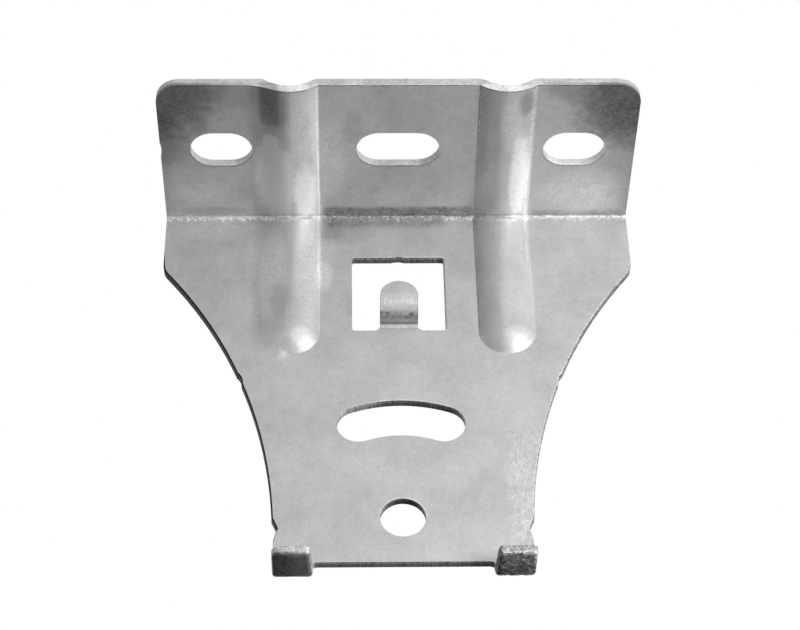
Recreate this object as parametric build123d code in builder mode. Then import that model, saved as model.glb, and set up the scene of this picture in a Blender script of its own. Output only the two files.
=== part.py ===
from build123d import *
import os
from math import acos, degrees, sqrt

# Ceiling bracket, folded from one blank of galvanised steel sheet.
# The origin is the middle of the row of anchor slots, in the plane of the ceiling.
# +Z is up, the flange reaches forward to -Y and the plate hangs at the +Y side.
# Sizes are in millimetres, and every "drop" is measured down from the ceiling.

# Sheet and main fold
sheet = 2.1
fold_inside = 0.8
width = 115.0

# Ceiling flange
flange_depth = 47.4
flange_corner = 6.0
slot_line = 25.9
slot_width = 11.1
centre_slot_length = 20.2
side_slot_length = 15.0
side_slot_pitch = 85.5

# Hanging plate
plate_drop = 105.8
shoulder_round = 5.0
waist = 58.6
waist_drop = 99.9
side_radius = 128.0

# Window and the hook raised from its lower edge
window_drop = 16.0
window_width = 22.5
window_height = 23.4
window_corner = 0.7
hook_width = 9.1
hook_reach = 7.0
hook_heel = 1.9
hook_height = 7.8
hook_bend = 4.3
hook_root_fold = 0.4
hook_root_round = 1.4

# Pivot hole and the curved slot that swings about it
pivot_drop = 93.9
pivot_hole = 10.3
swing_radius = 28.1
swing_width = 10.2
swing_angle = 41.0

# Stiffening beads pressed across the fold
bead_pitch = 51.8
bead_width = 14.2
bead_depth = 2.3
bead_flare = 0.8
bead_drop = 47.0

# Feet folded forward at the bottom corners
foot_span = 57.9
foot_width = 8.95
foot_taper = 0.5
foot_reach = 8.4
foot_neck = 1.05
foot_fold = 0.4
foot_root_round = 1.0
foot_corner = 0.9

# Small marks where two strokes of the punch meet
notch_drop = 96.8
notch_depth = 0.75
notch_height = 5.8
notch_round = 1.5
side_bite_drop = 53.9
side_bite_length = 3.2
side_bite_depth = 0.35
flange_bite_length = 5.0
flange_bite_depth = 0.3
window_bite_length = 3.2
window_bite_depth = 0.3

# Overlap that keeps joints and cuts clean, and the reach of a selector
overlap = 0.01
near = 0.01
cut_past = 10.0

# Places that follow from the sizes
rear_y = slot_line
front_y = rear_y - sheet
free_y = rear_y - flange_depth
side_centre_x = waist / 2 + side_radius
shoulder_z = -waist_drop + sqrt(side_radius**2 - (side_centre_x - width / 2) ** 2)
notch_top_z = -notch_drop + notch_height / 2
notch_foot_z = -notch_drop - notch_height / 2
foot_fold_z = -(plate_drop + foot_neck)
foot_top_z = foot_fold_z - foot_fold
foot_inner_x = foot_span / 2 - foot_width
window_bottom_z = -(window_drop + window_height)
hook_under_z = window_bottom_z + hook_heel


def side_x(z):
    # half width of the plate along its hollow side
    return side_centre_x - sqrt(side_radius**2 - (z + waist_drop) ** 2)


def bite_radius(length, depth):
    # radius of a round bite of a given length and depth
    return ((length / 2) ** 2 + depth**2) / (2 * depth)


# Crest and hollow of a bead are round, share one centre and flare out into the sheet
bead_reach = bite_radius(bead_width, bead_depth)
bead_slope = degrees(acos(1 - bead_depth / bead_reach))
crest_radius = bead_reach - bead_flare
crest_centre = sheet + bead_depth - overlap - crest_radius
flare_centre = sheet + bead_flare - overlap
bead_end_z = -bead_drop + bead_width / 2
bead_x = bead_pitch / 2


def half_bead(inset, root):
    # half of the bead's section, with Y as the depth below the outer skin of the sheet
    with BuildSketch() as half:
        with BuildLine():
            CenterArc((0, crest_centre), crest_radius - inset, 90 - bead_slope, bead_slope)
            CenterArc((bead_width / 2, flare_centre), bead_flare + inset, 270 - bead_slope, bead_slope)
            Polyline(
                (bead_width / 2, flare_centre - bead_flare - inset),
                (bead_width / 2, root),
                (0, root),
                (0, crest_centre + crest_radius - inset),
            )
        make_face()
    return half.sketch


def bead_pair(inset, root):
    # both beads, along the flange, round the corner and down the plate to a domed end
    half = half_bead(inset, root)
    with BuildPart() as beads:
        with BuildSketch(Plane((bead_x, free_y, 0), x_dir=(1, 0, 0), z_dir=(0, 1, 0))):
            add(half)
            mirror(half, about=Plane.YZ)
        extrude(amount=flange_depth - root)
        with BuildSketch(Plane((bead_x, rear_y, -root), x_dir=(1, 0, 0), z_dir=(0, 0, -1))):
            add(half)
            mirror(half, about=Plane.YZ)
        extrude(amount=-root - bead_end_z)
        with BuildSketch(Plane((bead_x, rear_y, bead_end_z), x_dir=(1, 0, 0), z_dir=(0, 0, -1))):
            add(half)
        revolve(axis=Axis((bead_x, rear_y, bead_end_z), (0, 1, 0)))
        mirror(about=Plane.YZ)
    return beads.part


# What the beads add inside the corner and take away outside it
bead_crests = bead_pair(0, sheet / 2)
bead_hollows = bead_pair(sheet, -cut_past)

# Hook, joggled forward out of the window and rounded at its tip
hook_tip_z = hook_under_z + hook_height
with BuildPart() as hook:
    with BuildSketch(Plane.YZ) as hook_profile:
        with BuildLine():
            FilletPolyline(
                (front_y, window_bottom_z),
                (front_y, hook_under_z),
                (front_y - hook_reach, hook_under_z),
                (front_y - hook_reach, hook_tip_z),
                radius=[hook_root_fold, hook_bend],
            )
            offset(amount=sheet, side=Side.RIGHT, closed=True)
        make_face()
    extrude(amount=hook_width / 2, both=True)
    with BuildSketch(Plane.XZ.offset(-rear_y)) as hook_outline:
        with Locations((0, window_bottom_z)):
            Rectangle(
                hook_width,
                hook_tip_z - hook_width / 2 - window_bottom_z,
                align=(Align.CENTER, Align.MIN),
            )
        with Locations((0, hook_tip_z - hook_width / 2)):
            Circle(hook_width / 2)
    extrude(amount=sheet + hook_reach, mode=Mode.INTERSECT)

# Feet, folded forward below the plate's bottom corners
foot_tip_y = front_y - foot_reach
with BuildPart() as feet:
    with BuildSketch(Plane.YZ) as foot_profile:
        with BuildLine():
            FilletPolyline(
                (front_y, foot_fold_z + sheet),
                (front_y, foot_top_z),
                (foot_tip_y, foot_top_z),
                radius=foot_fold,
            )
            offset(amount=sheet, side=Side.LEFT, closed=True)
        make_face()
    extrude(amount=foot_span / 2, both=True)
    with BuildSketch(Plane.XY.offset(foot_top_z - sheet)) as foot_outline:
        with BuildLine():
            Polyline(
                (foot_inner_x, rear_y),
                (foot_span / 2, rear_y),
                (foot_span / 2, foot_tip_y),
                (foot_inner_x + foot_taper, foot_tip_y),
                (foot_inner_x, front_y),
                close=True,
            )
        make_face()
        fillet(foot_outline.vertices().group_by(Axis.Y)[0], foot_corner)
        mirror(about=Plane.YZ)
    extrude(amount=foot_neck + plate_drop, mode=Mode.INTERSECT)

# Sheet with its main fold, drawn out to full width
with BuildPart() as bracket:
    with BuildSketch(Plane.YZ) as fold_profile:
        with BuildLine():
            FilletPolyline((free_y, -sheet), (front_y, -sheet), (front_y, foot_fold_z), radius=fold_inside)
            offset(amount=sheet, side=Side.LEFT, closed=True)
        make_face()
    extrude(amount=width / 2, both=True)

    # Outline of the flange, seen from above
    with BuildSketch(Plane.XY) as flange_outline:
        with Locations((0, rear_y - flange_depth / 2)):
            Rectangle(width, flange_depth)
        fillet(flange_outline.vertices().group_by(Axis.Y)[0], flange_corner)
        flange_bite = bite_radius(flange_bite_length, flange_bite_depth)
        with Locations((-width / 2 + flange_bite_depth - flange_bite, 0)):
            Circle(flange_bite, mode=Mode.SUBTRACT)
    extrude(amount=foot_fold_z - cut_past, mode=Mode.INTERSECT)

    # Outline of the plate, seen from the front
    arc_middle_z = (shoulder_z + notch_top_z) / 2
    with BuildSketch(Plane.XZ.offset(-rear_y)) as plate_outline:
        with BuildLine():
            Polyline((0, 0), (width / 2, 0), (width / 2, shoulder_z))
            ThreePointArc(
                (width / 2, shoulder_z),
                (side_x(arc_middle_z), arc_middle_z),
                (side_x(notch_top_z), notch_top_z),
            )
            Polyline(
                (side_x(notch_top_z), notch_top_z),
                (foot_span / 2 - notch_depth, -notch_drop),
                (foot_span / 2, notch_foot_z),
                (foot_span / 2, foot_fold_z),
                (foot_inner_x, foot_fold_z),
                (foot_inner_x, -plate_drop),
                (0, -plate_drop),
            )
            mirror(about=Plane.YZ)
        make_face()
        corners = plate_outline.vertices()
        fillet(corners.filter_by_position(Axis.Y, shoulder_z - near, shoulder_z + near), shoulder_round)
        corners = plate_outline.vertices()
        fillet(corners.filter_by_position(Axis.Y, -notch_drop - near, -notch_drop + near), notch_round)
        corners = plate_outline.vertices()
        fillet(corners.filter_by_position(Axis.Y, -plate_drop - near, -plate_drop + near), foot_root_round)
        side_bite = bite_radius(side_bite_length, side_bite_depth)
        inward = (side_bite - side_bite_depth) / side_radius
        bite_x = side_x(-side_bite_drop) * (1 - inward) + side_centre_x * inward
        bite_z = -side_bite_drop * (1 - inward) - waist_drop * inward
        with Locations((-bite_x, bite_z), (bite_x, bite_z)):
            Circle(side_bite, mode=Mode.SUBTRACT)
    extrude(amount=flange_depth, mode=Mode.INTERSECT)

    # Window, cut round the root of the hook
    hook_neck = hook_heel - hook_root_fold
    with BuildSketch(Plane.XZ.offset(-rear_y)) as window:
        with Locations((0, -window_drop - window_height / 2)):
            RectangleRounded(window_width, window_height, window_corner)
        window_bite = bite_radius(window_bite_length, window_bite_depth)
        with Locations((0, -window_drop - window_bite + window_bite_depth)):
            Circle(window_bite)
        with Locations((0, window_bottom_z)):
            Rectangle(hook_width, hook_neck, align=(Align.CENTER, Align.MIN), mode=Mode.SUBTRACT)
        sill = window.vertices().filter_by_position(Axis.Y, window_bottom_z - near, window_bottom_z + near)
        fillet(sill.filter_by_position(Axis.X, -hook_width / 2 - near, hook_width / 2 + near), hook_root_round)
    extrude(amount=sheet, mode=Mode.SUBTRACT)

    # Pivot hole and curved slot
    with BuildSketch(Plane.XZ.offset(-rear_y)) as plate_holes:
        with BuildLine():
            CenterArc((0, -pivot_drop), swing_radius, 90 - swing_angle / 2, swing_angle)
            offset(amount=swing_width / 2)
        make_face()
        with Locations((0, -pivot_drop)):
            Circle(pivot_hole / 2)
    extrude(amount=sheet, mode=Mode.SUBTRACT)

    # Anchor slots
    with BuildSketch(Plane.XY) as anchor_slots:
        SlotOverall(centre_slot_length, slot_width)
        with Locations((-side_slot_pitch / 2, 0), (side_slot_pitch / 2, 0)):
            SlotOverall(side_slot_length, slot_width)
    extrude(amount=-sheet, mode=Mode.SUBTRACT)

    # Beads, raised inside the corner and hollow outside it
    add(bead_crests)
    add(bead_hollows, mode=Mode.SUBTRACT)

    # Hook and feet
    add(hook.part)
    add(feet.part)

bracket.part.label = "bracket"
os.makedirs("parts", exist_ok=True)
export_step(bracket.part, "parts/bracket.step")
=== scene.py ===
from math import cos, pi, radians

import bmesh
import bpy
from mathutils import Matrix, Vector, noise


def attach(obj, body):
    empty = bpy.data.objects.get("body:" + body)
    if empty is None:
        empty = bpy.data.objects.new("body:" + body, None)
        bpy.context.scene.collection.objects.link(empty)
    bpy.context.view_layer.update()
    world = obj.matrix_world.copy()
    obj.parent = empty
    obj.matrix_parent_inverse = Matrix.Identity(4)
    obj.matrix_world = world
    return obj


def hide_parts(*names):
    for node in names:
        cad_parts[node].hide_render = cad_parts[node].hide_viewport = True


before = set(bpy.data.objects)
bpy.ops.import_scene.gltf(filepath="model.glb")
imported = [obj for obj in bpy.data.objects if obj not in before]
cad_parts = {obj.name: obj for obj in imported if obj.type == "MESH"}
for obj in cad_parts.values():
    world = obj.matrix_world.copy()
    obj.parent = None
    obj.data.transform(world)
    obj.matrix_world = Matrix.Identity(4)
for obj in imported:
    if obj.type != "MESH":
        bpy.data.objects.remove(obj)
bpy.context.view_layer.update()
mm = 0.001
print("frame loaded")

# Where the bracket's features lie, in millimetres along the frame's axes
part = {
    "plateFront": 23.8,
    "flangeUnder": -2.1,
    "freeEdge": -21.5,
    "slotRadius": 5.55,
    "sideSlot": 42.75,
    "sideSlotRun": 1.95,  # half the straight run of a slot
    "centreSlotRun": 4.55,
    "beadMiddle": 25.9,
    "beadEnd": -39.9,  # here a bead's round end begins
    "beadHalf": 7.1,
    "beadDepth": 2.3,
    "crestHalf": 6.63,
    "crestRadius": 11.31,
    "flareRadius": 0.8,
    "pivot": -93.9,
    "pivotRadius": 5.15,
    "swingRadius": 33.2,  # of the curved slot's upper rim, about the pivot
    "footInner": 20.0,
    "footOuter": 28.95,
    "footTaper": 0.06,
    "footTip": 15.4,
    "footBend": (23.4, -106.85),
    "footBendRadius": 2.5,
}

# The camera looks up from below, as in the photograph
camera = {
    "place": (-0.01106, -0.37511, -0.37414),
    "yaw": -1.631,
    "pitch": 40.397,
    "roll": -1.252,
    "lens": 97.81,
    "sensor": 36.0,
    "clip": (0.01, 100.0),
}


def makeCamera():
    data = bpy.data.cameras.new("camera")
    data.lens = camera["lens"]
    data.sensor_width = camera["sensor"]
    data.clip_start, data.clip_end = camera["clip"]
    eye = bpy.data.objects.new("camera", data)
    bpy.context.scene.collection.objects.link(eye)
    turn = Matrix.Rotation(radians(camera["yaw"]), 4, "Z")
    turn = turn @ Matrix.Rotation(radians(90 + camera["pitch"]), 4, "X")
    turn = turn @ Matrix.Rotation(radians(camera["roll"]), 4, "Z")
    eye.matrix_world = Matrix.Translation(Vector(camera["place"])) @ turn
    bpy.context.scene.camera = eye


# A signal is a number on its way through a material's nodes
class Signal:
    def __init__(self, bench, socket):
        self.bench = bench
        self.socket = socket

    def __add__(self, other):
        return self.bench.math("ADD", self, other)

    def __radd__(self, other):
        return self.bench.math("ADD", other, self)

    def __sub__(self, other):
        return self.bench.math("SUBTRACT", self, other)

    def __rsub__(self, other):
        return self.bench.math("SUBTRACT", other, self)

    def __mul__(self, other):
        return self.bench.math("MULTIPLY", self, other)

    def __rmul__(self, other):
        return self.bench.math("MULTIPLY", other, self)

    def __abs__(self):
        return self.bench.math("ABSOLUTE", self, 0.0)


# The bench puts the nodes of one material together
class Bench:
    def __init__(self, tree):
        self.tree = tree

    def add(self, kind, settings, sockets, output=0):
        node = self.tree.nodes.new(kind)
        for name, value in settings.items():
            setattr(node, name, value)
        for name, value in sockets.items():
            if isinstance(value, Signal):
                self.tree.links.new(value.socket, node.inputs[name])
            else:
                node.inputs[name].default_value = value
        return Signal(self, node.outputs[output] if node.outputs else None)

    def math(self, operation, first, second):
        return self.add("ShaderNodeMath", {"operation": operation}, {0: first, 1: second})

    def step(self, value, start, end):
        # smoothly from 0 at the start to 1 at the end, which may be the lower of the two
        return self.add(
            "ShaderNodeMapRange",
            {"interpolation_type": "SMOOTHSTEP"},
            {"Value": value, "From Min": start, "From Max": end},
        )

    def within(self, value, low, high, fade):
        # 1 between low and high, with edges that fade
        return self.step(value, low - fade, low + fade) * self.step(value, high + fade, high - fade)

    def grain(self, place, scale, detail, rough=0.5, shift=(0, 0, 0), stretch=(1, 1, 1)):
        # fine noise about 0
        moved = self.add("ShaderNodeMapping", {}, {"Vector": place, "Location": shift, "Scale": stretch})
        settings = {"Vector": moved, "Scale": scale, "Detail": detail, "Roughness": rough}
        return self.add("ShaderNodeTexNoise", {}, settings) - 0.5

    def turn(self, place, angles):
        return self.add("ShaderNodeMapping", {}, {"Vector": place, "Rotation": angles})

    def axis(self, vector, name):
        return self.add("ShaderNodeSeparateXYZ", {}, {"Vector": vector}, name)

    def length(self, first, second):
        flat = self.add("ShaderNodeCombineXYZ", {}, {"X": first, "Y": second})
        return self.add("ShaderNodeVectorMath", {"operation": "LENGTH"}, {0: flat}, "Value")

    def millimetres(self):
        coords = self.add("ShaderNodeTexCoord", {}, {}, "Object")
        place = self.add("ShaderNodeMapping", {}, {"Vector": coords, "Scale": (1 / mm, 1 / mm, 1 / mm)})
        return place, self.axis(place, "X"), self.axis(place, "Y"), self.axis(place, "Z")

    def bump(self, height, strength, distance):
        return self.add(
            "ShaderNodeBump", {}, {"Height": height, "Strength": strength, "Distance": distance * mm}
        )


def startMaterial(name):
    mat = bpy.data.materials.new(name)
    mat.use_nodes = True
    return mat, Bench(mat.node_tree)


def finishMaterial(mat, bench, tone, rough, metal, bump):
    paint = mat.node_tree.nodes["Principled BSDF"]
    colour = bench.add("ShaderNodeCombineColor", {}, {"Red": tone, "Green": tone, "Blue": tone})
    signals = {"Base Color": colour, "Roughness": rough, "Metallic": metal, "Normal": bump}
    for name, signal in signals.items():
        mat.node_tree.links.new(signal.socket, paint.inputs[name])
    return mat


# Room: a pale floor far below, a white world and soft lamps
room = {
    "floorDrop": 2.3,
    "floorReach": 30.0,
    "floorColour": (0.8, 0.8, 0.8, 1),
    "floorRoughness": 0.9,
    "ambient": 0.05,
    "lamps": [  # name, place, size and power
        ("key", (0.278, -0.278, -0.152), 0.24, 2.4),
        ("front", (0.1, -0.85, 0.25), 0.5, 0.6),
        ("back", (0.15, 0.8, 0.15), 0.4, 2.5),
    ],
    "aim": (0.0, 0.02, -0.05),
}


def makeWorld():
    # white to the camera and in reflections, and dim to the object, which the lamps light
    world = bpy.data.worlds.new("room")
    bpy.context.scene.world = world
    world.use_nodes = True
    world.node_tree.nodes.clear()
    bench = Bench(world.node_tree)
    direct = bench.add("ShaderNodeLightPath", {}, {}, "Is Camera Ray")
    glossy = bench.add("ShaderNodeLightPath", {}, {}, "Is Glossy Ray")
    seen = bench.math("MAXIMUM", direct, glossy)
    strength = room["ambient"] + seen * (1 - room["ambient"])
    back = bench.add("ShaderNodeBackground", {}, {"Color": (1, 1, 1, 1), "Strength": strength})
    bench.add("ShaderNodeOutputWorld", {}, {"Surface": back})
    bpy.context.scene.view_settings.view_transform = "Standard"


def makeFloor():
    bm = bmesh.new()
    bmesh.ops.create_circle(bm, cap_ends=True, segments=96, radius=room["floorReach"])
    bmesh.ops.translate(bm, verts=bm.verts, vec=(0, 0, -room["floorDrop"]))
    mesh = bpy.data.meshes.new("floor")
    bm.to_mesh(mesh)
    bm.free()
    floor = bpy.data.objects.new("floor", mesh)
    bpy.context.scene.collection.objects.link(floor)
    mat = startMaterial("floorPaint")[0]
    paint = mat.node_tree.nodes["Principled BSDF"]
    paint.inputs["Base Color"].default_value = room["floorColour"]
    paint.inputs["Roughness"].default_value = room["floorRoughness"]
    mesh.materials.append(mat)


def makeLamps():
    for name, place, size, power in room["lamps"]:
        data = bpy.data.lights.new(name, "AREA")
        data.shape = "DISK"
        data.size = size
        data.energy = power
        lamp = bpy.data.objects.new(name, data)
        bpy.context.scene.collection.objects.link(lamp)
        turn = (Vector(room["aim"]) - Vector(place)).to_track_quat("-Z", "Y")
        lamp.matrix_world = Matrix.Translation(Vector(place)) @ turn.to_matrix().to_4x4()


# The pressed sheet: a merged copy of the solid, with eased edges and its crumpled places roughened
sheet = {
    "weld": 0.03,
    "flatAngle": 0.4,
    "poleReach": 0.9,
    "poleLevels": (21.5, 23.6),
    "sharpAngle": 32.0,
    "edges": {"round": 0.16, "segments": 2},
    "rolled": {"round": 0.4, "segments": 3, "inner": 19.5, "high": -14.0, "low": -104.6},
    "flank": {
        "low": -36.3,
        "high": -25.5,
        "step": 0.6,
        "half": 10.3,
        "past": 1.5,
        "blend": 3.0,
        "turn": 0.8,
        "cutTo": (24.6, -1.0),  # y and z where the sheet's outer side begins, for the cuts
        "moveTo": (24.7, -1.2),  # and for the moves
        "plateTop": -6,  # below this only the plate is moved
        "endCuts": (-49.5, -38.5),
        "stop": -52.0,
    },
    "fold": {
        "cuts": (19.5, -6.4),  # y and z where the crumbled strip ends
        "rows": (1.6, 0.7),
        "step": 0.4,
        "half": 57.2,
        "ends": (56.6, 0.8),
        "deep": (3.0, 1.0),
        "crumb": 0.12,
        "grain": 1.9,
        "spread": 1.1,
        "calm": 0.65,  # the crumbs are this much smaller on the beads
        "beads": (21.0, 30.0, 2.0),
    },
    "feet": {
        "width": (19.6, 29.2),
        "depth": (15.5, 25.8),
        "height": (-109.3, -105.3),
        "step": 0.36,
        "corners": (1.9, 0.9),  # left and right, on the outside
        "innerCorner": 0.9,
        "round": 0.85,
        "crumbs": (0.08, 0.3),
        "grain": 1.5,
        "full": (-107.0, 0.9),  # rounded in full below this, and not at all a little above
    },
    "hook": {"half": 4.7, "top": -33.0, "bottom": -40.5, "step": 0.4, "crumb": 0.07, "grain": 0.9},
    "walls": {  # where the second material goes
        "bottom": -105.9,
        "top": -9,
        "front": 23.9,
        "rear": 25.8,
        "steep": 0.6,  # a wall's normal leans back by less than this
        "beads": {"inner": 17, "outer": 35, "end": -48},
        "hook": {"half": 4.7, "bottom": -40, "top": -30},
        "sides": {"inner": 19.5, "bottom": -97.2, "front": 23.8, "leftSteep": 0.985, "rightSteep": 0.75},
    },
}


def cutAcross(bm, faces, axis, start, end, step):
    # even cuts across some faces, so that they can be shaped
    count = int((end - start) / step + 1e-6) + 1
    return cutAt(bm, faces, axis, [start + index * step for index in range(count)])


def cutAt(bm, faces, axis, places):
    # the middle cut halves the faces, and then each half is cut in the same way
    if not places or not faces:
        return faces
    middle = len(places) // 2
    side = Vector((0, 0, 0))
    side[axis] = 1
    level = places[middle] * mm
    parts = faces + list({edge for face in faces for edge in face.edges})
    cut = bmesh.ops.bisect_plane(bm, geom=parts, dist=1e-7, plane_co=side * level, plane_no=side)["geom"]
    faces = [piece for piece in cut if isinstance(piece, bmesh.types.BMFace)]
    below = [face for face in faces if face.calc_center_bounds()[axis] < level]
    above = [face for face in faces if face.calc_center_bounds()[axis] >= level]
    return cutAt(bm, below, axis, places[:middle]) + cutAt(bm, above, axis, places[middle + 1:])


def facesWhere(bm, test):
    return [face for face in bm.faces if test(face.calc_center_median() / mm)]


def vertsOf(faces):
    return {vert for face in faces for vert in face.verts}


def upTo(value, high, fade):
    # 1 up to a value, and from there down to 0 over the fade
    return max(0.0, min(1.0, (high - value) / fade + 1))


def near(value, low, high, fade):
    # 1 from low to high, and down to 0 on both sides
    return min(upTo(value, high, fade), upTo(-value, -low, fade))


def mendPoles(bm):
    # the slivers where a bead's round end begins become one point
    reach = sheet["poleReach"] * mm
    for side in (-1, 1):
        for level in sheet["poleLevels"]:
            pole = Vector((side * part["beadMiddle"], level, part["beadEnd"])) * mm
            verts = [vert for vert in bm.verts if (vert.co - pole).length < reach]
            bmesh.ops.remove_doubles(bm, verts=verts, dist=2 * reach)


def pressedDepth(off):
    # how far a bead is pressed in, at a distance from its middle: a crest arc, then a small flare
    crest, flare = part["crestRadius"], part["flareRadius"]
    if off < part["crestHalf"]:
        return (crest ** 2 - off ** 2) ** 0.5 - crest + part["beadDepth"]
    if off < part["beadHalf"]:
        return flare - (flare ** 2 - (part["beadHalf"] - off) ** 2) ** 0.5
    return 0.0


def softDepth(off):
    half = sheet["flank"]["half"]
    return part["beadDepth"] / 2 * (1 + cos(pi * min(off, half) / half))


def cutFlank(bm):
    flank = sheet["flank"]
    rear, top = flank["cutTo"]
    faces = []
    for face in bm.faces:
        spread = [vert.co.x / mm for vert in face.verts]
        centre = face.calc_center_bounds() / mm
        crossed = max(spread) > flank["low"] and min(spread) < flank["high"]
        if crossed and centre.z < top and centre.y < rear:
            faces.append(face)
    ends = []
    for face in cutAcross(bm, faces, 0, flank["low"], flank["high"], flank["step"]):
        centre = face.calc_center_bounds() / mm
        if centre.z < flank["plateTop"] and flank["low"] < centre.x < flank["high"]:
            ends.append(face)
    cutAcross(bm, ends, 2, *flank["endCuts"], flank["step"])


def softenFlank(bm):
    # the outer flank of the left bead fades into the sheet without a crease
    flank = sheet["flank"]
    rear, top = flank["moveTo"]
    cutFlank(bm)
    for vert in bm.verts:
        place = vert.co / mm
        aside = -part["beadMiddle"] - place.x
        if not -flank["past"] < aside < flank["half"]:
            continue
        off = (aside ** 2 + max(0.0, part["beadEnd"] - place.z) ** 2) ** 0.5
        old = pressedDepth(off)
        if place.y > rear - old or place.z > top - old or place.z < flank["stop"]:
            continue
        weight = max(0.0, min(1.0, aside / flank["blend"]))
        weight = weight * weight * (3 - 2 * weight)
        move = weight * (softDepth(off) - old)
        if place.z < flank["plateTop"]:
            vert.co.y = (part["plateFront"] - old - move) * mm
            continue
        across = part["plateFront"] - place.y - part["flangeUnder"] + place.z
        vert.co.z -= move * mm * upTo(-across, 0, flank["turn"])
        vert.co.y -= move * mm * upTo(across, 0, flank["turn"])


def roughenFold(bm):
    # crumbs of zinc along the inside of the main fold
    fold = sheet["fold"]
    front, under = part["plateFront"], part["flangeUnder"]
    cutY, cutZ = fold["cuts"]
    cutAt(bm, facesWhere(bm, lambda at: at.z < under + 0.2 and at.y < front + 0.4), 1, [cutY])
    cutAt(bm, facesWhere(bm, lambda at: 20 < at.y < front + 0.4), 2, [cutZ])
    faces = facesWhere(bm, lambda at: cutY < at.y < front + 0.2 and cutZ < at.z < under + 0.15)
    faces = cutAcross(bm, faces, 0, -fold["half"], fold["half"], fold["step"])
    for row in fold["rows"]:
        faces = cutAt(bm, faces, 1, [front - row])
        faces = cutAt(bm, faces, 2, [under - row])
    for vert in vertsOf(faces):
        if vert.normal.y + vert.normal.z > 0.5:  # in the hollow behind a bead
            continue
        place = vert.co / mm
        ridge = abs(front - place.y - under + place.z)
        depth = max(front - place.y, under - place.z)
        fade = max(0.0, 1 - ridge / fold["spread"])
        fade *= upTo(depth, *fold["deep"]) * upTo(abs(place.x), *fold["ends"])
        fade *= 1 - fold["calm"] * near(abs(place.x), *fold["beads"])
        crumb = noise.noise(place * fold["grain"]) + 0.5 * noise.noise(place * fold["grain"] * 2.3)
        vert.co += vert.normal * crumb * fold["crumb"] * fade * mm


def footMove(place, side, corner, ease):
    # how a point on a foot moves when the foot's corners and lower edges are rounded
    outside = part["footOuter"] - abs(place.x)
    inside = abs(place.x) - part["footInner"] - part["footTaper"] * (part["plateFront"] - place.y)
    tip = place.y - part["footTip"]
    aside, inward = outside, Vector((-side, 0, 0))
    if inside <= outside:
        aside, inward, corner = inside, Vector((side, 0, 0)), sheet["feet"]["innerCorner"]
    if aside < corner and tip < corner:
        inward = inward * (corner - aside) + Vector((0, corner - tip, 0))
        gap = corner - inward.length
        inward.normalize()
    elif aside < tip:
        gap = aside
    else:
        gap, inward = tip, Vector((0, 1, 0))
    move = inward * max(0.0, -gap)
    gap = max(0.0, gap)
    bendY, bendZ = part["footBend"]
    outward = Vector((0, max(0.0, place.y - bendY), min(0.0, place.z - bendZ)))
    high = part["footBendRadius"] - outward.length
    if outward.length < 1e-6 or gap >= ease or high >= ease:
        return move
    away = Vector((ease - gap, ease - high))
    if away.length <= ease:
        return move
    away = away * (1 - ease / away.length)
    return move + inward * away.x - outward.normalized() * away.y


def roughenFeet(bm):
    # the feet are bent cold: their edges are rounded, and the right one is crinkled like bark
    feet = sheet["feet"]
    for side, corner, crumbs in zip((-1, 1), feet["corners"], feet["crumbs"]):
        low, high = sorted(side * edge for edge in feet["width"])
        faces = facesWhere(bm, lambda at: low < at.x < high and at.z < feet["height"][1])
        faces = cutAcross(bm, faces, 0, low, high, feet["step"])
        faces = cutAcross(bm, faces, 1, *feet["depth"], feet["step"])
        faces = cutAcross(bm, faces, 2, *feet["height"], feet["step"])
        verts = vertsOf(faces)
        for vert in verts:
            place = vert.co / mm
            ease = feet["round"] * upTo(place.z, *feet["full"])
            vert.co += footMove(place, side, corner, ease) * mm
        bm.normal_update()
        for vert in verts:
            x, y, z = vert.co / mm
            slant = Vector((0.6 * x + 0.3 * y, 1.3 * y - 0.5 * x, 1.3 * z)) * feet["grain"]
            crumb = noise.noise(slant) + 0.6 * noise.noise(slant * 2.1)
            vert.co += vert.normal * min(0.0, crumb - 0.2) * crumbs * upTo(z, *feet["full"]) * mm


def roughenHook(bm):
    # drawing marks run across the hook's bend
    hook = sheet["hook"]
    half, top, bottom = hook["half"], hook["top"], hook["bottom"]
    faces = facesWhere(bm, lambda at: abs(at.x) < half and bottom < at.z < top + 4 and at.y < 23.3)
    faces = cutAcross(bm, faces, 0, -half, half, hook["step"])
    faces = cutAcross(bm, faces, 2, bottom, top, hook["step"])
    for vert in vertsOf(faces):
        x, y, z = vert.co / mm
        fade = near(z, bottom + 1, top - 0.5, 1) * upTo(abs(x), half - 0.8, 0.5)
        crumb = noise.noise(Vector((x * 0.5, y, z * 2)) * hook["grain"])
        vert.co += vert.normal * min(0.0, crumb - 0.2) * hook["crumb"] * fade * mm


def isSheared(face):
    # walls that the punch cut through the hanging plate, and the rolled rims of its sides
    walls = sheet["walls"]
    beads, hook, sides = walls["beads"], walls["hook"], walls["sides"]
    at = face.calc_center_median() / mm
    aside, steep = abs(at.x), abs(face.normal.y)
    onBead = at.z > beads["end"] and beads["inner"] < aside < beads["outer"]
    onHook = hook["bottom"] < at.z < hook["top"] and aside < hook["half"]
    if onBead or not walls["bottom"] < at.z < walls["top"]:
        return False
    if aside > sides["inner"] and at.z > sides["bottom"]:
        limit = sides["leftSteep"] if at.x < 0 else sides["rightSteep"]
        return sides["front"] < at.y < walls["rear"] and steep < limit
    return walls["front"] < at.y < walls["rear"] and steep < walls["steep"] and not onHook


def isRolled(edge):
    # the front rims of the plate's curved sides
    rolled = sheet["rolled"]
    for end in edge.verts:
        x, y, z = end.co / mm
        if abs(y - part["plateFront"]) >= 0.03 or abs(x) <= rolled["inner"]:
            return False
        if not rolled["low"] < z < rolled["high"]:
            return False
    return True


def sharpEdges(bm):
    angle = radians(sheet["sharpAngle"])
    return [edge for edge in bm.edges if edge.is_convex and edge.calc_face_angle() > angle]


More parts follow.
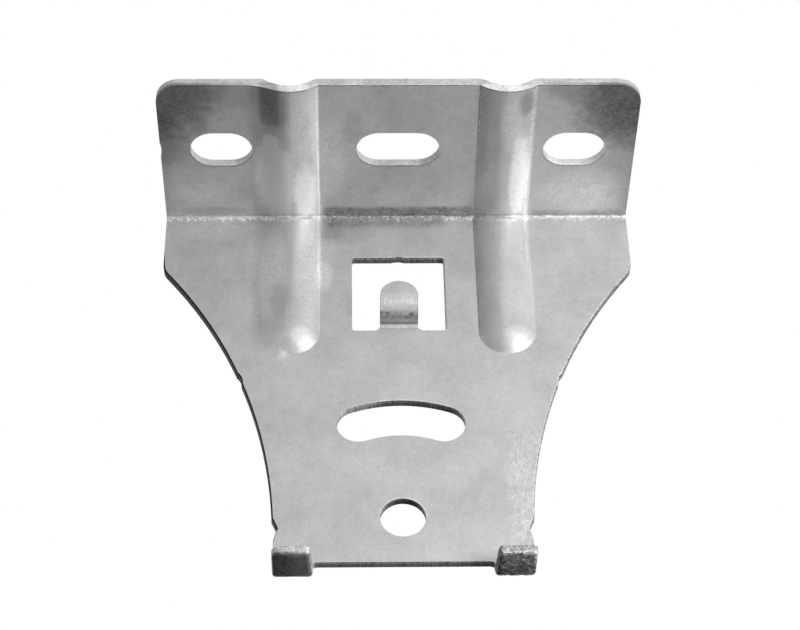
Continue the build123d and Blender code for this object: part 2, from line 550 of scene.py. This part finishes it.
def roundEdges(bm, edges, size):
    bmesh.ops.bevel(
        bm,
        geom=edges,
        offset=size["round"] * mm,
        offset_type="OFFSET",
        segments=size["segments"],
        profile=0.5,
        affect="EDGES",
        clamp_overlap=True,
        material=-1,
    )


def mergedCopy(node):
    bm = bmesh.new()
    bm.from_mesh(node.data)
    bmesh.ops.remove_doubles(bm, verts=bm.verts, dist=1e-6)
    flat = radians(sheet["flatAngle"])
    bmesh.ops.dissolve_limit(bm, angle_limit=flat, verts=bm.verts, edges=bm.edges)
    bmesh.ops.remove_doubles(bm, verts=bm.verts, dist=sheet["weld"] * mm)
    mendPoles(bm)
    return bm


def makeSheet():
    bm = mergedCopy(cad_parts["bracket"])
    roundEdges(bm, [edge for edge in sharpEdges(bm) if isRolled(edge)], sheet["rolled"])
    bm.normal_update()
    roundEdges(bm, sharpEdges(bm), sheet["edges"])
    bmesh.ops.remove_doubles(bm, verts=bm.verts, dist=1e-7)
    for shape in (softenFlank, roughenFold, roughenFeet, roughenHook):
        bm.normal_update()
        shape(bm)
    bm.normal_update()
    print("sheet shaped:", len(bm.faces), "faces")
    for face in bm.faces:
        face.smooth = True
        face.material_index = 1 if isSheared(face) else 0
    mesh = bpy.data.meshes.new("pressedSheet")
    bm.to_mesh(mesh)
    bm.free()
    stale = mesh.attributes.get("custom_normal")  # the solid's own normals no longer fit
    if stale:
        mesh.attributes.remove(stale)
    piece = bpy.data.objects.new("pressedSheet", mesh)
    bpy.context.scene.collection.objects.link(piece)
    weigh = piece.modifiers.new("weigh", "WEIGHTED_NORMAL")
    weigh.keep_sharp = True
    mesh.materials.append(makeCoat())
    mesh.materials.append(makeSheared())
    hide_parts("bracket")
    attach(piece, "root")


# The zinc coat with its mottling, and the painted shade and painted highlights laid over it, in
# millimetres.
# "Along" is y on the flange and z on the plate, and a gain below 0 darkens.
coat = {
    "tone": 0.63,
    # the flange's underside keeps the full tone and the rest is darker by this much: painted light on
    # the flange's underside
    "plateTone": 0.725,
    "brightest": 0.95,
    "metallic": 0.34,
    "flangeMetallic": 0.5,
    "roughness": 0.47,
    "specks": 0.5,
    "clouds": 0.42,
    "bump": 0.12,
    # painted shade and painted highlights: dark at the flange's outer corners, bright on the beads'
    # flanks
    "flangeLightSpots": [  # middle x, middle along, half width, half depth, gain
        (-56, -18, 17, 16, -0.6),
        (-58, -3, 8, 12, -0.38),
        (-40, -19, 9, 9, -0.18),
        (56, -15, 16, 17, -0.66),
        (43, -20, 10, 6, -0.25),
        (-30, 9, 6, 17, 0.75),
        (-29.5, -17, 4.5, 10, -0.26),
        (-12, -2, 10, 18, 0.06),
        (27, -12, 3.5, 13, 0.2),
        (23.6, -6, 1.3, 14, -0.06),
        (-22.6, 14, 3.4, 13, 0.55),
        (-23, -8, 4.5, 14, 0.22),
        (29.7, 8, 2.9, 17, 0.6),
        (30.4, -16.5, 2.6, 5, -0.36),
        (21, 2, 3.5, 20, 0.17),
        (-46, 21.5, 12, 1.8, -0.2),
        (-51, 13, 8, 8, 0.14),
        (-16.5, 3, 5, 18, 0.12),
        (-11, -8, 3, 7, -0.12),
        (46, 15, 13, 10, 0.26),
    ],
    # painted highlights and painted shade on the plate's beads and their round ends
    "plateLightSpots": [
        (-13, -7.5, 8, 5, -0.12),
        (-22, -22, 4, 24, 0.18),
        (22.3, -38, 3.4, 13, -0.14),
        (28.6, -42.6, 4.2, 3.8, 0.16),
        (-23.2, -42.3, 3.4, 3.6, 0.3),
        (-32, -14, 6, 14, 0.15),
        (-28.9, -31, 2.6, 7, -0.16),
        (-18.0, -22, 2.6, 6, 0.3),
        (-30.5, -23, 4, 18, 0.26),
        (-45, -6, 12, 5, 0.15),
        (27, -85, 5, 20, 0.12),
    ],
    # painted shade above the fold and on the left bead's flank, and a painted highlight strip on that
    # flank
    "flangeLightBands": [  # lowest x, highest x, lowest along, highest along, fade, gain
        (-33.0, -28.5, -24, -9.5, 0.8, -0.32),
        (-32.4, -29.2, -6, 15, 0.5, 0.3),
        (-18, 18.8, 20.4, 25, 0.8, -0.46),
        (33.5, 57, 21.6, 25, 0.9, -0.25),
    ],
    # painted shade just below the fold, and a painted highlight along the hook's root
    "plateLightBands": [
        (-17.5, 12, -5.6, 1, 1.6, -0.33),
        (-18.9, -13.5, -10, 1, 1.3, -0.2),
        (-4.8, 4.8, -38.6, -37.9, 0.15, 0.4),
    ],
    # thin lines of painted highlight and painted shade along the plate's creases
    "plateCreaseLights": [  # x where along is 0, slant, lowest along, highest along, gain, how broken it is
        (-33.4, 0, -40.7, -34.4, -0.2, 0.2),
        (11.4, 0, -39.0, -16.5, -0.5, 0.0),
    ],
    # thin lines of painted highlight and painted shade along the beads' creases
    "creaseLights": [
        (-19.45, 0.004, -21, 0, 0.16, 0.5),
        (-19.45, 0.004, 0, 22.5, 0.4, 0.35),
        (19.3, -0.008, -19, 22.5, 0.55, 0.9),
        (32.0, 0.0, -20, 22.5, 0.36, 0.75),
        (-19.65, -0.013, -40, -2.5, 0.14, 0.6),
        (-19.1, -0.004, -26, -2.5, 0.2, 0.8),
        (32.0, -0.026, -39, -2.5, 0.08, 0.3),
        (19.15, -0.006, -39, -2.5, -0.25, 0.5),
    ],
    "freeEdge": {"tone": 0.12, "darkLine": -0.3},
    # the fold's painted highlight, and painted shade on the beads' crests, between the crumbs and above
    # the fold
    "fold": {
        "tone": 0.22,
        "leftTone": 0.25,
        "middleTone": -0.22,
        "beadTone": -0.14,
        "shine": 0.78,
        "leftShine": 0.5,
        "middleShine": 0.35,
        "rightShine": -0.5,
        "beadShine": -0.5,
        "leftCrest": -0.3,
        "rightCrest": -0.35,
        "gaps": -0.5,
        "shadow": -0.12,
        "rough": -0.1,
        "beadRough": 0.35,
    },
    # painted shade under the feet and on their inner sides, and painted light towards the right foot's
    # tip
    "feet": {
        "tone": 0.18,
        "right": -0.5,
        "under": -0.4,
        "leftUnder": -0.3,
        "rightUnder": 1.13,
        "sides": -0.35,
        "bark": 1.6,
        "barkHeight": 14,
    },
    # painted highlight on the hook's bend, and painted shade below it and at its root
    "hook": {
        "gleam": 0.46,
        "brush": 0.9,
        "dark": -0.27,
        "shadeMottle": -2.2,
        "rim": -0.25,
        "root": -0.15,
        "deepRoot": -0.35,
    },
    # painted highlights on the openings' rims, and dark lines under the slots
    "rims": {"width": 0.25, "lit": 0.22, "darkLine": -0.4},
    "roughSkin": {"tone": 0.03, "height": 3},
    # the wall's gain is painted light, used on the right slot
    "slots": [  # middle x, half the straight run, gain of the wall
        (-part["sideSlot"], part["sideSlotRun"], 0.0),
        (0, part["centreSlotRun"], 0.0),
        (part["sideSlot"], part["sideSlotRun"], 0.3),
    ],
}


# What every mark is made from: a point's place, its side of the sheet, and the zinc's own mottling
class Skin:
    def __init__(self, bench):
        self.place, self.x, self.y, self.z = bench.millimetres()
        self.patch = bench.grain(self.place, 0.45, 3.0, 0.6, (7, 3, 5))
        self.speck = bench.grain(self.place, 1.5, 4.0, 0.75, (1, 2, 3))

        # the flange and the plate meet on the diagonal of the fold
        self.across = part["plateFront"] - self.y + self.z - part["flangeUnder"]
        self.flange = bench.step(self.across, -0.25, 0.25)
        self.along = self.y * self.flange + self.z * (1 - self.flange)
        normal = bench.add("ShaderNodeTexCoord", {}, {}, "Normal")
        normal = bench.axis(normal, "Z") * self.flange + bench.axis(normal, "Y") * (1 - self.flange)
        facing = bench.step(normal, 0.6, 0.3)
        self.flangeInner = self.flange * bench.step(self.z, -1.0, -1.8) * facing
        self.plateInner = (1 - self.flange) * bench.step(self.y, 24.9, 24.4) * facing
        self.inner = self.flangeInner + self.plateInner
        self.underside = bench.step(self.z, -1.9, -2.05)
        self.right = bench.step(self.x, -1, 1)
        self.feet = bench.step(self.z, -106.0, -107.2)


def addSpots(bench, skin, tone, spots, side):
    # patches of painted light and painted shade, mottled by the zinc
    for middleX, middleAlong, wide, deep, gain in spots:
        offX = (skin.x - middleX) * (1 / wide)
        offAlong = (skin.along - middleAlong) * (1 / deep)
        far = offX * offX + offAlong * offAlong + skin.patch * 0.9
        mask = bench.step(far, 1.05, 0.05) * side
        tone = tone * (1 + mask * (gain * (1.0 + skin.speck * 1.6 + skin.patch * 0.7)))
    return tone


def addBands(bench, skin, tone, bands, side):
    # bands of painted light and painted shade with ragged edges
    ragged = skin.patch * 1.5 + skin.speck * 1.5
    for lowX, highX, lowAlong, highAlong, fade, gain in bands:
        mask = bench.within(skin.x + ragged * fade, lowX, highX, fade) * side
        mask = mask * bench.within(skin.along + ragged * fade, lowAlong, highAlong, fade)
        tone = tone * (1 + mask * (gain * (1.0 + skin.speck * 3.5 + skin.patch * 1.5)))
    return tone


def addCreases(bench, skin, tone, creaseLights, side):
    # thin lines of painted highlight and painted shade, broken into dashes
    dash = bench.grain(skin.place, 0.9, 2.0, 0.6, (4, 4, 4))
    for start, slant, low, high, gain, broken in creaseLights:
        off = abs(skin.x - start - skin.along * slant + dash * 0.5)
        mask = bench.step(off, 0.24, 0.05) * bench.within(skin.along, low, high, 0.3) * side
        whole = bench.step(dash, 0.5 * broken - 0.5, 0.5 * broken - 0.3)
        tone = tone * (1 + mask * whole * gain)
    return tone


def addFold(bench, skin, tone):
    # a painted highlight runs along the fold, broken into crumbs of bare zinc, weaker where the beads
    # cross it
    fold = coat["fold"]
    x, across, inner = skin.x, skin.across, skin.inner
    flake = bench.grain(skin.place, 1.5, 3.0, 0.7, (2, 8, 4), (1, 0.8, 0.8))
    middle = bench.step(abs(x), 19, 17)
    bead = bench.step(abs(abs(x - 0.95) - 24.95), 7, 5.5)
    left = bench.step(x, -46, -43) * bench.step(x, -30, -31.5)
    right = bench.step(x, 33, 34)
    crumbly = across + skin.patch * 1.8 + flake * (3.2 + middle * 2.5)
    ridge = bench.step(crumbly, -1.4, -0.8) * bench.step(crumbly, 0.45, 0.0)
    ridge = ridge * inner * bench.step(abs(across), 2, 1.6)
    pale = fold["tone"] + left * fold["leftTone"] + middle * fold["middleTone"] + bead * fold["beadTone"]
    shine = fold["shine"] + left * fold["leftShine"] + middle * fold["middleShine"]
    shine = shine + right * fold["rightShine"] + bead * fold["beadShine"]
    tone = tone * (1 + ridge * (pale + bench.step(flake, -0.02, 0.16) * shine))

    # painted shade dims the beads' crests at the fold and the gaps between the crumbs
    crestShade = bench.step(abs(x + 22.6), 2.6, 0.4) * fold["leftCrest"]
    crestShade = crestShade + bench.step(abs(x - 26.6), 3.6, 1.2) * fold["rightCrest"]
    tone = tone * (1 + crestShade * bench.step(abs(across), 1.4, 0.3) * inner)
    gaps = middle * bench.step(abs(across), 0.35, 0.1) * bench.step(flake, 0.08, -0.06)
    tone = tone * (1 + gaps * inner * fold["gaps"])
    shadow = bench.step(across, 0.2, 0.6) * bench.step(across, 1.5, 0.8) * inner
    tone = tone * (1 + shadow * (fold["shadow"] - skin.patch * 0.5))
    return tone, ridge * (bead * fold["beadRough"] + fold["rough"])


def addFreeEdge(bench, skin, tone):
    # the cut edge is blotchy, with a dark line below it
    marks, end = coat["freeEdge"], part["freeEdge"]
    edge = bench.step(skin.y, end + 0.3, end + 0.05)
    tone = tone * (1 + edge * (marks["tone"] + skin.speck * 0.8 + skin.patch * 0.6))
    darkLine = bench.step(skin.y, end + 0.6, end + 0.3) * bench.step(skin.y, end, end + 0.1) * skin.underside
    return tone * (1 + darkLine * (marks["darkLine"] - skin.patch * 1.5))


def addFeet(bench, skin, tone):
    # dark below and pale at the bend, as painted shade and painted light, with painted shade on the
    # feet's inner sides; the right foot's bark is seen in height, and in tone as painted light and shade
    marks = coat["feet"]
    x, y, z, feet, right = skin.x, skin.y, skin.z, skin.feet, skin.right
    mottle = skin.speck * 1.6 + skin.patch * 0.8
    tone = tone * (1 + feet * (marks["tone"] + right * marks["right"] + mottle))
    bark = bench.grain(bench.turn(skin.place, (0, 0, 0.45)), 1.7, 3.0, 0.7, (2, 6, 1), (0.7, 1.8, 1.8))
    under = feet * bench.step(z + bark * 0.8, -108.4, -109.0)
    paler = marks["rightUnder"] - bench.step(y, 15.5, 25) * 0.8 - bench.step(x, 24, 20.5) * 0.2
    shade = marks["under"] + bench.step(x, -22, -27) * marks["leftUnder"] + right * paler
    tone = tone * (1 + under * (shade + bark * (0.6 + right * 3.4)))
    tone = tone * (1 + feet * right * bark * marks["bark"])
    tone = tone * (1 + feet * bench.step(abs(x), 20.8, 20.4) * marks["sides"])
    return tone, skin.speck * feet * 2 + bark * feet * right * marks["barkHeight"]


def addHook(bench, skin, tone):
    # a painted highlight on the hook's bend and painted shade below it and at its root, broken by
    # drawing marks that cross the bend
    marks = coat["hook"]
    x, y, z = skin.x, skin.y, skin.z
    hook = bench.step(abs(x), 4.9, 4.7) * bench.step(y, 23.7, 23.5)
    hook = hook * bench.step(z, -38, -37.8) * bench.step(z, -29, -29.5)
    brush = bench.grain(bench.turn(skin.place, (0, -0.6, 0)), 1.4, 3.0, 0.65, (3, 1, 2), (2.2, 0.5, 0.5))
    shadeMottle = bench.grain(skin.place, 0.7, 2.0, 0.5, (1, 5, 2), (1, 1, 2))
    bend = y + brush * 1.6
    gleam = hook * bench.step(bend, 17.0, 17.9) * bench.step(bend, 19.9, 18.9)
    dark = hook * bench.step(bend, 19.0, 19.9) * bench.step(bend, 21.8, 21.0)
    rim = hook * bench.step(abs(x), 4.2, 4.5)
    root = hook * bench.step(y, 21, 21.6)
    tone = tone * (1 + gleam * (marks["gleam"] + brush * marks["brush"])) * (1 + rim * marks["rim"])
    tone = tone * (1 + dark * (marks["dark"] + shadeMottle * marks["shadeMottle"]))
    return tone * (1 + root * (marks["root"] + bench.step(y, 22.7, 23.3) * marks["deepRoot"]))


def addRims(bench, skin, tone):
    # painted highlights on the rims of the openings, dark lines under the slots' lower rims, and painted
    # light on the right slot's wall
    marks = coat["rims"]
    width, arcRim, holeRim = marks["width"], part["swingRadius"], part["pivotRadius"]
    swing = bench.length(skin.x, skin.z - part["pivot"])
    arc = bench.step(swing, arcRim + 2 * width, arcRim + width) * bench.step(swing, arcRim - 0.1, arcRim)
    arc = arc * bench.step(abs(skin.x), 12.5, 11)
    hole = bench.step(swing, holeRim + 2 * width, holeRim + width) * bench.step(skin.z, -94.5, -92)
    window = bench.step(skin.z, -15.5, -15.7) * bench.step(skin.z, -16.2, -16.0)
    window = window * bench.step(abs(skin.x), 11.4, 11.2)
    tone = tone * (1 + skin.plateInner * (arc + hole + window) * (marks["lit"] + skin.patch * 0.6))
    wallEnd = part["slotRadius"] + 0.2
    for middle, run, gain in coat["slots"]:
        past = bench.math("MAXIMUM", abs(skin.x - middle) - run, 0.0)
        ring = bench.length(past, skin.y)
        darkLine = bench.step(ring, wallEnd + width, wallEnd) * bench.step(skin.y, -1, 3) * skin.underside
        wall = bench.step(ring, wallEnd, wallEnd - 0.15)
        tone = tone * (1 + darkLine * (marks["darkLine"] - skin.patch))
        tone = tone * (1 + wall * (gain + skin.speck + skin.patch * 0.5))
    return tone


def addRoughSkin(bench, skin, tone):
    # rougher, paler skin beside the right edge and at the lower right corner
    marks = coat["roughSkin"]
    rough = bench.step(skin.x + skin.patch * 6, 22.5, 27) * bench.step(skin.z + skin.patch * 9, -64, -76)
    rough = rough * skin.plateInner
    crinkle = bench.grain(skin.place, 1.3, 2.0, 0.7, (9, 2, 6), (1.4, 1, 0.7))
    return tone * (1 + rough * (marks["tone"] + crinkle)), crinkle * rough * marks["height"]


def makeCoat():
    mat, bench = startMaterial("zincCoat")
    skin = Skin(bench)
    patch, speck = skin.patch, skin.speck
    cloud = bench.grain(skin.place, 0.11, 3.0)
    # painted light: the flange's underside keeps the full tone, and the rest of the sheet is darker
    pale = skin.flangeInner * skin.underside
    tone = coat["tone"] * (coat["plateTone"] + pale * (1 - coat["plateTone"]))
    tone = tone * (1 + (cloud + patch * 0.6) * coat["clouds"] + speck * coat["specks"])
    # painted light and painted shade, in patches, bands and crease lines
    tone = addSpots(bench, skin, tone, coat["flangeLightSpots"], skin.flangeInner)
    tone = addSpots(bench, skin, tone, coat["plateLightSpots"], skin.plateInner)
    tone = addBands(bench, skin, tone, coat["flangeLightBands"], skin.flangeInner)
    tone = addBands(bench, skin, tone, coat["plateLightBands"], skin.plateInner)
    tone = addCreases(bench, skin, tone, coat["plateCreaseLights"], skin.plateInner)
    tone = addCreases(bench, skin, tone, coat["creaseLights"], skin.inner)
    tone, foldRough = addFold(bench, skin, tone)
    tone = addFreeEdge(bench, skin, tone)
    tone, feetHeight = addFeet(bench, skin, tone)
    tone = addHook(bench, skin, tone)
    tone = addRims(bench, skin, tone)
    tone, skinHeight = addRoughSkin(bench, skin, tone)
    tone = bench.math("MINIMUM", tone, coat["brightest"])

    rough = coat["roughness"] + speck * 0.25 + foldRough
    metal = coat["metallic"] + skin.flange * (coat["flangeMetallic"] - coat["metallic"])
    flank = bench.step(abs(skin.x + 30.5) + patch, 3.0, 2.0) * bench.step(skin.y, -8, -7)
    flank = flank * skin.flangeInner
    height = speck * (1 + flank * 5) + patch * 0.6 + feetHeight + skinHeight
    return finishMaterial(mat, bench, tone, rough, metal, bench.bump(height, coat["bump"], 0.2))


# Walls that the punch tore through the plate: dark, partly as bare steel and partly as painted shade,
# with a smooth band where the cut began
sheared = {
    "tone": 0.19,
    "smoothTone": 0.36,
    "paleTone": 0.44,
    "leftSides": -0.92,
    "rightSides": -0.2,
    "hole": -0.4,
    "arcLeft": 0.3,
    "arcRight": 0.3,
    "window": 0.17,
    "bottom": 0.95,
    "metallic": 0.4,
    "leftMetallic": 0.95,
    "roughness": 0.55,
    "bump": 0.25,
}


def makeSheared():
    mat, bench = startMaterial("shearedSteel")
    place, x, y, z = bench.millimetres()
    speck = bench.grain(place, 2.2, 3.0, 0.65)
    tear = bench.grain(place, 1.0, 3.0, 0.65, (0, 0, 0), (2.4, 0.35, 2.4))
    smoothBand = bench.step(y + tear * 0.8, 24.9, 24.3)
    tone = sheared["tone"] + smoothBand * (sheared["smoothTone"] - sheared["tone"])

    # painted light on the curved slot's wall towards its ends
    middle = bench.step(abs(x), 19, 18)
    arc = middle * bench.step(z, -77, -75) * bench.step(z, -56, -57)
    arcLeft = arc * bench.step(x + y * 2, 48, 40) * bench.step(x, -15.2, -13)
    arcRight = arc * bench.step(x, 3, 9)
    tone = tone + arcLeft * sheared["arcLeft"]
    tone = tone * (1 + tear * 2.8 + speck * 0.8) * (1 + arcRight * sheared["arcRight"])

    # painted shade in the round hole, and painted light on the bottom edge and the window
    hole = middle * bench.step(z, -86, -88) * bench.step(z, -101, -100)
    bottom = bench.step(z, -105.2, -105.5)
    window = middle * bench.step(z, -30, -29)
    tone = tone * (1 + hole * sheared["hole"]) * (1 + bottom * sheared["bottom"])
    tone = tone * (1 + window * (sheared["window"] + tear * 1.5))

    # painted shade on the plate's sides, deepest on the left side, which near the fold are as pale as
    # the coat
    left = bench.step(x, -19, -19.5)
    right = bench.step(x, 19, 19.5)
    tone = tone * (1 + left * sheared["leftSides"]) * (1 + right * (sheared["rightSides"] + speck * 5))
    pale = bench.step(z + tear * 4, -16, -10) * (left + right)
    tone = tone + (sheared["paleTone"] - tone) * pale

    metal = sheared["metallic"] + left * (1 - pale) * (sheared["leftMetallic"] - sheared["metallic"])
    rough = sheared["roughness"] + speck * 0.3
    return finishMaterial(mat, bench, tone, rough, metal, bench.bump(speck + tear, sheared["bump"], 0.3))


makeCamera()
makeWorld()
makeFloor()
makeLamps()
print("camera and room made")
makeSheet()
print("sheet made")
